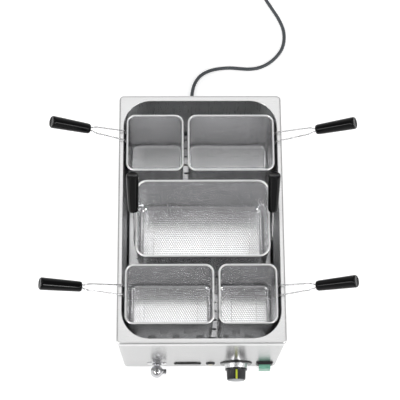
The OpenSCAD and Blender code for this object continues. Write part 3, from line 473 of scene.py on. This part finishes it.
def deck_plate():
    """The top plate: a folded tray with a rounded rim outside and a rounded edge at the opening."""
    low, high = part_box("deck_plate")
    width, length, top = high.x - low.x, high.y - low.y, high.z
    tank_low, tank_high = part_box("tank")
    hole_w = tank_high.x - tank_low.x - 2 * SHEET_T
    hole_l = tank_high.y - tank_low.y - 2 * SHEET_T
    bm = bmesh.new()
    loops = [round_rectangle(bm, width, length, DECK_CORNER_R, top - DECK_LIP)]
    for come_in, below in quarter(6):
        inset = DECK_EDGE_R * come_in
        loops.append(round_rectangle(bm, width - 2 * inset, length - 2 * inset, DECK_CORNER_R - inset,
                                     top - DECK_EDGE_R * below))
    for come_down, out in quarter(4):
        out *= DECK_T
        loops.append(round_rectangle(bm, hole_w + 2 * out, hole_l + 2 * out, TANK_CORNER_R + out,
                                     top - STEP_DOWN - DECK_T * come_down))
    inner_r = DECK_EDGE_R - DECK_T
    for come_in, below in reversed(quarter(6)):
        inset = DECK_T + inner_r * come_in
        loops.append(round_rectangle(bm, width - 2 * inset, length - 2 * inset, DECK_CORNER_R - inset,
                                     top - DECK_EDGE_R + (inner_r + STEP_DOWN) * (1 - below)))
    loops.append(round_rectangle(bm, width - 2 * DECK_T, length - 2 * DECK_T, DECK_CORNER_R - DECK_T,
                                 top - DECK_LIP + STEP_DOWN))
    skin(bm, loops, closed=True)
    weighted(piece("deck_plate_folded", bm, deck_steel, "cooker", ["deck_plate"]))


def tank():
    """The drawn tank: an outer and an inner skin, one sheet apart, that meet at the brim."""
    low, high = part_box("tank")
    width, length = high.x - low.x, high.y - low.y
    bm = bmesh.new()
    skins = []
    for wall, brim in ((0, high.z), (SHEET_T, high.z - STEP_DOWN)):
        w, l = width - 2 * wall, length - 2 * wall
        radius, fold = TANK_CORNER_R + SHEET_T - wall, TANK_FLOOR_R + SHEET_T - wall
        loops = [round_rectangle(bm, w, l, radius, brim, steps=16)]
        for come_in, below in quarter(8):
            inset = fold * come_in
            loops.append(round_rectangle(bm, w - 2 * inset, l - 2 * inset, radius - inset,
                                         low.z + wall + fold * below, steps=16))
        bmesh.ops.contextual_create(bm, geom=loops[-1])
        skins.append(loops)
    skin(bm, skins[0][::-1] + skins[1])
    weighted(piece("tank_drawn", bm, tank_steel, "cooker", ["tank"]))


deck_plate()
tank()


# Perforated sheet

# Round holes in staggered rows
HOLE_PITCH = 5 * MM
HOLE_ROW = HOLE_PITCH * math.sqrt(3) / 2
HOLE_R = 1.5 * MM
# How far the strips that are turned in reach over each end of a base, and how high they lie on it
END_FLANGE = 24 * MM
FLANGE_H = 1.02 * BASKET_T


def repeat(bm, count, step):
    """Copies what the mesh holds, so that count copies stand one step apart."""
    unit = bm.verts[:] + bm.edges[:] + bm.faces[:]
    for i in range(1, count):
        copied = bmesh.ops.duplicate(bm, geom=unit)["geom"]
        moved = [part for part in copied if isinstance(part, bmesh.types.BMVert)]
        bmesh.ops.translate(bm, vec=Vector(step) * i, verts=moved)


def holed_sheet(columns, rows):
    """A flat sheet of round holes in staggered rows: bricks with a hole each, laid in bond."""
    bm = bmesh.new()
    bmesh.ops.create_grid(bm, x_segments=2, y_segments=2, size=0.5)
    bmesh.ops.scale(bm, vec=(HOLE_PITCH, HOLE_ROW, 1), verts=bm.verts)
    middle = min(bm.verts, key=lambda vert: vert.co.length)
    punched = bmesh.ops.bevel(bm, geom=[middle], offset=HOLE_R, offset_type="OFFSET", segments=2,
                              profile=0.5, affect="VERTICES", material=-1)
    bmesh.ops.delete(bm, geom=punched["faces"], context="FACES")
    repeat(bm, 2, (HOLE_PITCH / 2, HOLE_ROW, 0))
    repeat(bm, columns, (HOLE_PITCH, 0, 0))
    repeat(bm, math.ceil(rows / 2), (0, 2 * HOLE_ROW, 0))
    bmesh.ops.remove_doubles(bm, verts=bm.verts, dist=HOLE_PITCH / 50)
    return bm


def cut_off(bm, place, outward):
    """Cuts away what lies beyond a plane."""
    everything = bm.verts[:] + bm.edges[:] + bm.faces[:]
    bmesh.ops.bisect_plane(bm, geom=everything, plane_co=place, plane_no=outward, clear_outer=True)


def round_wall(s, width, length, radius):
    """The point at distance s clockwise round a rectangle with round corners, from its back right corner."""
    straight_x, straight_y, corner = width - 2 * radius, length - 2 * radius, radius * math.pi / 2
    stretches = (straight_x, corner, straight_y, corner) * 2
    s = (s + straight_x + corner / 2) % sum(stretches)
    sides = ((1, 0), (0, -1), (-1, 0), (0, 1))
    for i, stretch in enumerate(stretches):
        if s <= stretch or i == len(stretches) - 1:
            break
        s -= stretch
    side = i // 2
    along = Vector(sides[side])
    out = Vector((-along.y, along.x))
    half = straight_x / 2 if side % 2 == 0 else straight_y / 2
    reach = length / 2 if side % 2 == 0 else width / 2
    if i % 2 == 0:
        return along * (s - half) + out * reach
    a = s / radius
    way = out * math.cos(a) + along * math.sin(a)
    return along * half + out * (reach - radius) + way * radius


def basket_plan(name):
    """The middle line of a basket's wall seen from above: its centre, width, length and corner radius."""
    low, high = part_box(name + "_basket_rim")
    width, length = high.x - low.x - RIM_D, high.y - low.y - RIM_D
    return (low + high) / 2, width, length, BASKETS[name][0] - RIM_D / 2


def sheet_metal(made):
    """Gives a bare sheet its thickness."""
    sheet = made.modifiers.new("sheet", "SOLIDIFY")
    sheet.thickness = BASKET_T
    sheet.offset = 0


def basket_wall(name, part, parts):
    """A share of one basket's walls, bent from a flat perforated sheet round the corners."""
    centre, width, length, radius = basket_plan(name)
    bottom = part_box(name + "_basket_shell")[0].z
    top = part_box(name + "_basket_rim")[1].z - RIM_D / 2
    upright = top - bottom - BASKET_FLOOR_R
    round_length = 2 * (width + length) - (8 - 2 * math.pi) * radius
    columns = round(round_length / HOLE_PITCH / parts)
    stretch = round_length / (columns * parts * HOLE_PITCH)
    rows = 2 * round(upright / HOLE_ROW / 2)
    bm = holed_sheet(columns, rows)
    for vert in bm.verts:
        spot = round_wall(part * round_length / parts + vert.co.x * stretch, width, length, radius)
        fall = (vert.co.y + HOLE_ROW / 2) * upright / (rows * HOLE_ROW)
        vert.co = (centre.x + spot.x, centre.y + spot.y, top - fall)
    name_end = "" if parts == 1 else "_" + "ab"[part]
    sheet_metal(piece(name + "_basket_wall" + name_end, bm, basket_steel, name + "_basket",
                      [name + "_basket_shell"]))


def basket_fold(name):
    """The plain round fold between the walls and the base."""
    centre, width, length, radius = basket_plan(name)
    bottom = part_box(name + "_basket_shell")[0].z
    fold = BASKET_FLOOR_R - BASKET_T / 2
    bm = bmesh.new()
    loops = []
    for come_in, below in quarter(8):
        inset = fold * come_in
        loops.append(round_rectangle(bm, width - 2 * inset, length - 2 * inset, radius - inset,
                                     bottom + BASKET_T / 2 + fold * below, steps=6))
    skin(bm, loops)
    move_to(bm, (centre.x, centre.y, 0))
    sheet_metal(piece(name + "_basket_fold", bm, basket_steel, name + "_basket", ()))


def basket_base(name):
    """The perforated base, with the strip of the end walls that is turned in over each of its ends."""
    centre, width, length, radius = basket_plan(name)
    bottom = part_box(name + "_basket_shell")[0].z
    fold = BASKET_FLOOR_R - BASKET_T / 2
    width, length, radius = width - 2 * fold, length - 2 * fold, radius - fold
    left, right = -width / 2, width / 2
    spans = [(left, right, 0), (left, left + END_FLANGE, 1), (right - END_FLANGE, right, 1)]
    bm = bmesh.new()
    for start, end, layer in spans:
        columns = math.ceil((end - start) / HOLE_PITCH) + 2
        rows = 2 * math.ceil(length / HOLE_ROW / 2) + 2
        sheet = holed_sheet(columns, rows)
        shift = (start + end) / 2 - (columns - 0.5) * HOLE_PITCH / 2 + layer * HOLE_PITCH / 4
        move_to(sheet, (shift, -(rows - 1) * HOLE_ROW / 2, layer * FLANGE_H))
        cut_off(sheet, (start, 0, 0), (-1, 0, 0))
        cut_off(sheet, (end, 0, 0), (1, 0, 0))
        cut_off(sheet, (0, length / 2, 0), (0, 1, 0))
        cut_off(sheet, (0, -length / 2, 0), (0, -1, 0))
        for sx, sy in ((1, 1), (1, -1), (-1, 1), (-1, -1)):
            pivot = Vector((sx * (width / 2 - radius), sy * (length / 2 - radius), 0))
            # Three straight cuts follow the round corner, which the fold hides
            for k in (1, 3, 5):
                a = math.radians(15 * k)
                way = Vector((sx * math.cos(a), sy * math.sin(a), 0))
                cut_off(sheet, pivot + way * radius, way)
        join(bm, sheet)
    move_to(bm, (centre.x, centre.y, bottom + BASKET_T / 2))
    sheet_metal(piece(name + "_basket_base", bm, basket_steel, name + "_basket", ()))


# How many pieces each basket's wall is made in, so that no one piece carries too many
# faces. A wall is one piece while it stays below the number of faces that an export carries
WALL_PARTS = {BACK_SMALL: 1, BACK_MEDIUM: 2, LARGE: 2, FRONT_MEDIUM: 2, FRONT_SMALL: 1}
for basket, parts in WALL_PARTS.items():
    for part in range(parts):
        basket_wall(basket, part, parts)
    basket_fold(basket)
    basket_base(basket)


# Handles

# From the outside of the rim to that of the wall, and from there to the wires that run down it
WALL_INSET = RIM_D / 2 - BASKET_T / 2
LEG_X = WALL_INSET + 0.1 * MM + WIRE_D / 2
# The bent-in ends of the wires stop this short of the wall, and the grip this short of its wires' bends
WELD_GAP = 0.05 * MM
GRIP_GAP = 0.2 * MM
LEG_L = 45 * MM
SHOULDER_H = 15 * MM
FORK_L = 9 * MM
BEND = 5 * MM
TANG_L = 40 * MM
WIRE_SPREAD = 20 * MM
FORK_SPREAD = 13 * MM
TANG_SPREAD = 6 * MM
# Radius and height of the grip, from the wires outwards, in millimetres
GRIP_PROFILE = [
    (0, 0), (8.7, 0), (9.15, 0.2), (9.3, 0.6), (10.2, 2.9), (10.4, 5), (10.9, 20), (11.4, 38), (11.9, 56),
    (12.35, 74), (12.5, 79), (12.5, 80.4), (12.2, 82), (11.5, 83.4), (10.7, 84), (10.2, 84), (9.6, 83.5),
    (0, 83.1),
]


def handle_frames(name):
    """Each handle of a basket: its side, its foot on the wall, the way it rises and the way its wires part."""
    sides, slope, shift = BASKETS[name][1], math.radians(BASKETS[name][2]), BASKETS[name][4]
    low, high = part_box(name + "_basket_rim")
    middle = (low + high) / 2
    frames = []
    for side in sides:
        foot = Vector((middle.x + side * ((high.x - low.x) / 2 - WALL_INSET), middle.y + shift, high.z))
        rise = Vector((side * math.cos(slope), 0, math.sin(slope)))
        spread = Vector((0, 1, 0))
        if len(sides) == 2:
            rise = Vector((0, math.cos(slope), math.sin(slope)))
            spread = Vector((0, math.sin(slope), -math.cos(slope)))
        frames.append((side, foot, rise, spread))
    return frames


def basket_handle(name):
    """The two bent wires of each handle, from the wall up over the rim and into the grip."""
    reach = BASKETS[name][3]
    paths = []
    for side, foot, rise, spread in handle_frames(name):
        for k in (-1, 1):
            leg = foot + Vector((side * LEG_X, k * WIRE_SPREAD / 2, 0))
            base = foot + Vector((side * LEG_X, 0, SHOULDER_H))
            paths.append(eased([
                leg + Vector((side * (WELD_GAP - LEG_X), 0, -RIM_D - LEG_L)),
                leg + Vector((0, 0, -RIM_D - LEG_L)),
                leg + Vector((0, 0, SHOULDER_H)),
                base + rise * (reach - BEND - FORK_L) + spread * k * FORK_SPREAD / 2,
                base + rise * (reach - BEND) + spread * k * TANG_SPREAD / 2,
                base + rise * (reach + TANG_L) + spread * k * TANG_SPREAD / 2,
            ], BEND))
    piece(name + "_basket_wires", wire(paths, WIRE_D / 2), wire_steel, name + "_basket",
          [name + "_basket_handle"], 60)


def basket_grips(name):
    """The black grips of a basket's handles, as one piece."""
    made = bmesh.new()
    for side, foot, rise, _ in handle_frames(name):
        grip = turned(GRIP_PROFILE)
        tip = foot + Vector((side * LEG_X, 0, SHOULDER_H)) + rise * (BASKETS[name][3] + GRIP_GAP)
        move_to(grip, tip, rise.to_track_quat("Z", "Y").to_matrix())
        join(made, grip)
    piece(name + "_basket_grips", made, grip_black, name + "_basket",
          [name + "_basket_grip"], 40)


for basket in BASKETS:
    basket_handle(basket)
    basket_grips(basket)


# Controls

PANEL_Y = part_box("front_panel")[0].y
TOWARDS_VIEWER = Matrix.Rotation(math.radians(90), 3, "X")
# Radius and distance from the panel, in millimetres: the knob's skirt, its barrel and the cap in its face
SKIRT_PROFILE = [(0, 12.2), (23.4, 12.2), (23.8, 12.5), (24, 13), (24, 15.4), (23.7, 16), (23.2, 16.2),
                 (0, 16.2)]
BARREL_PROFILE = [(21, 16.2), (20.9, 18), (20.2, 33), (20, 35.6), (19.4, 36.3), (18.6, 36.5)]
CAP_PROFILE = [(0, 36.5), (18, 36.5), (18, 37.4), (17.8, 37.8), (17.4, 38), (16.6, 38), (16.2, 37.7),
               (0, 37.5)]
# Forty ribs of four points each, their depth and where they end, in millimetres
KNOB_POINTS = 160
RIB_POINTS = 4
RIB_DEPTH = 0.55
RIBS_FROM, RIBS_TO = 17, 36
# The flat on top that carries the pointer: its distance from the axis and its points to each side
FLAT_R = 19.7
FLAT_POINTS = 4


def on_panel(bm, node):
    """Puts a piece that was made round the Z axis on the panel, in front of the node's middle."""
    low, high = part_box(node)
    middle = (low + high) / 2
    move_to(bm, (middle.x, PANEL_Y, middle.z), TOWARDS_VIEWER)


def control_knob():
    """Ribbed barrel on a round skirt, with a flat along its top for the pointer."""
    bm = turned(SKIRT_PROFILE, 96)
    loops = []
    for radius, height in BARREL_PROFILE:
        places = []
        for k in range(KNOB_POINTS):
            r = radius
            if k % RIB_POINTS < RIB_POINTS / 2 and RIBS_FROM < height < RIBS_TO:
                r = radius - RIB_DEPTH
            if abs(k - KNOB_POINTS / 4) < FLAT_POINTS:
                r = min(radius, FLAT_R)
            a = math.tau * k / KNOB_POINTS
            places.append((r * MM * math.cos(a), r * MM * math.sin(a), height * MM))
        loops.append(loop(bm, places))
    bmesh.ops.contextual_create(bm, geom=loops[-1])
    bmesh.ops.contextual_create(bm, geom=loops[0])
    skin(bm, loops)
    on_panel(bm, "control_knob")
    piece("control_knob_ribbed", bm, knob_black, "thermostat_knob", ["control_knob"], 35)


def knob_cap():
    """The grey disc in the face of the knob, with a low rim."""
    bm = turned(CAP_PROFILE, 96)
    on_panel(bm, "knob_cap")
    piece("knob_cap_turned", bm, cap_grey, "thermostat_knob", ["knob_cap"], 35)


control_knob()
knob_cap()


# Plug, gland and tie of the cord

# In millimetres from the cord: the neck's grooves, their pitch and the neck's length
NECK_GROOVES = 6
NECK_PITCH = 4
NECK_L = 26


def plug():
    """Moulded plug, turned: a neck with ring grooves, a bell and a flat face."""
    profile = [(0, 0), (5.6, 0)]
    for k in range(NECK_GROOVES):
        h = 2 + NECK_PITCH * k
        r = 5.65 + 4.35 * h / NECK_L
        profile += [(r, h), (r + 0.1, h + 0.4), (r - 0.9, h + 0.8), (r - 0.8, h + 2.2), (r + 0.4, h + 2.6)]
    profile += [(10, NECK_L), (11, 26.6), (12.5, 30), (15.5, 34), (18.1, 38), (18.5, 39.5), (18.5, 60.5),
                (18.2, 61.6), (17.4, 62), (0, 62)]
    bm = turned(profile, 64)
    move_to(bm, PLUG_TIP, Matrix.Rotation(math.radians(-90), 3, "Y"))
    body = piece("plug_moulded", bm, cord_rubber, "cooker", ["plug_body"], 40)
    pins = smoothed("plug_pins", pin_nickel, 0.7 * MM)
    return [body, pins]


# The strap's width, its inner and outer radius round a turn, and how far it stands above the turn's middle
STRAP_W = 16 * MM
STRAP_R, STRAP_OUT_R = 4.0 * MM, 4.6 * MM
STRAP_RISE = 0.45 * MM
# Three turns of the coil as it holds them, with the angles in degrees where it meets and leaves each
STRAPPED = [(0.5, -99.2, 13.7), (2.5, 13.7, 138), (1.5, 138, 260.8)]


def coil_tie():
    """A hook-and-loop strap round the turns of the coil, as it is shipped."""
    half = STRAP_W / 2
    bm = bmesh.new()
    loops = []
    for radius, y in ((STRAP_OUT_R, -half), (STRAP_OUT_R, half), (STRAP_R, half - STEP_DOWN),
                      (STRAP_R, STEP_DOWN - half)):
        places = []
        for s, start, end in STRAPPED:
            turn = coil_point(s)
            for x, z in arc((COIL_CENTRE.x - turn.x, turn.z + STRAP_RISE), radius, start, end, 8):
                places.append((COIL_CENTRE.x - x, COIL_CENTRE.y + y, z))
        loops.append(loop(bm, places))
    skin(bm, loops, closed=True)
    return piece("coil_tie", bm, strap_black, "cooker")


route = cord_route()
sheath = piece("power_cord_sheath", wire([route], CORD_D / 2), cord_rubber, "cooker",
               ["power_cord", "cord_coil"], 60)
plug() + [coil_tie()]


# Pieces that keep the shape of the part's source

# How each is finished, and how far its edges are broken, in millimetres
FINISHES = {
    "casing_wrap": (side_steel, 0),
    "front_panel": (panel_steel, 0),
    "base_plate": (plate_steel, 0.2),
    "base_screws": (screw_steel, 0.4),
    "feet": (foot_rubber, 0.8),
    "foot_screws": (screw_steel, 0.4),
    "false_bottom": (plate_steel, 0),
    "heating_element": (element_steel, 0),
    "tank_bushings": (brass, 0.3),
    "bushing_nuts": (brass, 0.5),
    "sensor_bulb": (copper, 0),
    "sensor_clip": (screw_steel, 0.2),
    "capillary_tube": (copper, 0),
    "thermostat_body": (ceramic, 0.8),
    "dial_plate": (plate_black, 0.3),
    "dial_ring": (ring_aluminium, 0.3),
    "thermostat_shaft": (screw_steel, 0),
    "knob_pointer": (pointer_green, 0.3),
    "switch_housing": (frame_black, 0.5),
    "switch_rocker": (rocker_green, 1.2),
    "indicator_frame": (frame_black, 0.3),
    "indicator_lens": (lens_pale, 0),
    "blank_plate": (plate_black, 0.4),
    "drain_pipe": (tank_steel, 0),
    "tap_nut": (brass, 0.5),
    "tap_flange": (tap_chrome, 0.3),
    "tap_body": (tap_chrome, 0),
    "tap_ball": (tap_chrome, 0),
    "tap_lever": (tap_chrome, 0.8),
    "safety_cutout": (ceramic, 0.4),
    "terminal_block": (ceramic, 0.6),
    "cable_gland": (gland_black, 0.5),
}
for name in BASKETS:
    FINISHES[name + "_basket_rim"] = (rim_steel, 0)
for node, (finish, edge) in FINISHES.items():
    smoothed(node, finish, edge * MM)


# Studio

def lamp(name, place, target, size, power):
    """A soft area lamp that faces a point."""
    data = bpy.data.lights.new(name, "AREA")
    data.shape = "RECTANGLE"
    data.size, data.size_y = size
    data.energy = power
    made = bpy.data.objects.new(name, data)
    made.location = place
    made.rotation_euler = (Vector(target) - Vector(place)).to_track_quat("-Z", "Y").to_euler()
    scene.collection.objects.link(made)


# The floor lies a hair below the feet, so that the two flat faces never share one plane
FLOOR_GAP = 0.3 * MM
FLOOR_HALF = 6
# The floor's own glow: half of white round the object, where it shows shadows, and white further out
FLOOR_NEAR, FLOOR_FAR = 1.0, 2.5
GLOW_NEAR, GLOW_FAR = 0.5, 1.0
# The surround's strength from the horizon up, to the height (as a share of straight up) where it levels out:
# what it lights the object with, and what the camera, metal and clear plastic see
DOME_LOW, DOME_HIGH, DOME_TOP = 0.8, 0.28, 0.6
BACKDROP_LOW, BACKDROP_FROM = 1.0, 0.25
# Lamps: name, place, the point that they face, width and height in metres, watts
LAMPS = [
    ("overhead_softbox", (0.05, 1.05, 3.2), (0.05, 0.5, 0.3), (2.2, 2.2), 18),
    ("overhead_bar", (0.02, 0.50, 3.1), (0, 0, 0.2), (1.0, 0.3), 0.6),
    ("front_box", (-1.3, -1.5, 2.4), (0, 0, 0.3), (0.3, 1.0), 20),
    ("side_box", (-2.1, -0.75, 2.0), (0, 0, 0.3), (0.3, 0.8), 10),
    ("front_box", (1.3, -1.5, 2.4), (0, 0, 0.3), (0.3, 1.0), 20),
    ("side_box", (2.1, -0.75, 2.0), (0, 0, 0.3), (0.3, 0.8), 10),
]


def background_rays(tree):
    """1 for rays of the camera, of gloss and through clear plastic, and 0 for rays that light the object."""
    rays = add(tree, "ShaderNodeLightPath").outputs
    seen = rays["Is Camera Ray"]
    for kind in ("Is Glossy Ray", "Is Transmission Ray"):
        seen = add(tree, "ShaderNodeMath", {0: seen, 1: rays[kind]}, operation="MAXIMUM").outputs[0]
    return seen


def studio_floor():
    """A matt white floor that keeps the object's shadow."""
    bm = bmesh.new()
    bmesh.ops.create_grid(bm, x_segments=1, y_segments=1, size=FLOOR_HALF)
    move_to(bm, (0, 0, -FLOOR_GAP))
    mesh = bpy.data.meshes.new("studio_floor")
    bm.to_mesh(mesh)
    bm.free()
    floor = bpy.data.objects.new("studio_floor", mesh)
    scene.collection.objects.link(floor)
    material, tree, shader, place = started("white_floor")
    shader.inputs["Base Color"].default_value = (0.86, 0.86, 0.86, 1)
    shader.inputs["Roughness"].default_value = 0.9
    away = add(tree, "ShaderNodeVectorMath", {0: place}, operation="LENGTH").outputs["Value"]
    level = add(tree, "ShaderNodeMapRange", {"Value": away, "From Min": FLOOR_NEAR, "From Max": FLOOR_FAR,
                                             "To Min": GLOW_NEAR, "To Max": GLOW_FAR})
    glow = add(tree, "ShaderNodeEmission", {"Color": (1, 1, 1, 1), "Strength": level.outputs["Result"]})
    added = add(tree, "ShaderNodeAddShader", {0: shader.outputs[0], 1: glow.outputs[0]})
    mixed = add(tree, "ShaderNodeMixShader",
                {0: background_rays(tree), 1: shader.outputs[0], 2: added.outputs[0]})
    tree.links.new(mixed.outputs[0], tree.nodes["Material Output"].inputs["Surface"])
    mesh.materials.append(material)


def pale_surround():
    """A world that is white at the horizon and greyer overhead, as a studio is round its softboxes."""
    world = bpy.data.worlds.new("pale_surround")
    world.use_nodes = True
    sky = world.node_tree.nodes["Background"]
    sky.inputs["Color"].default_value = (1, 1, 1, 1)
    tree = world.node_tree
    way = add(tree, "ShaderNodeTexCoord").outputs["Generated"]
    height = add(tree, "ShaderNodeSeparateXYZ", {"Vector": way}).outputs["Z"]
    dome = add(tree, "ShaderNodeMapRange",
               {"Value": height, "From Max": DOME_TOP, "To Min": DOME_LOW, "To Max": DOME_HIGH})
    backdrop = add(tree, "ShaderNodeMapRange",
                   {"Value": height, "From Min": BACKDROP_FROM, "From Max": DOME_TOP,
                    "To Min": BACKDROP_LOW, "To Max": DOME_HIGH})
    level = add(tree, "ShaderNodeMix",
                {0: background_rays(tree), 2: dome.outputs["Result"], 3: backdrop.outputs["Result"]})
    tree.links.new(level.outputs[0], sky.inputs["Strength"])
    scene.world = world


studio_floor()
pale_surround()
for settings in LAMPS:
    lamp(*settings)
scene.view_settings.view_transform = "Standard"
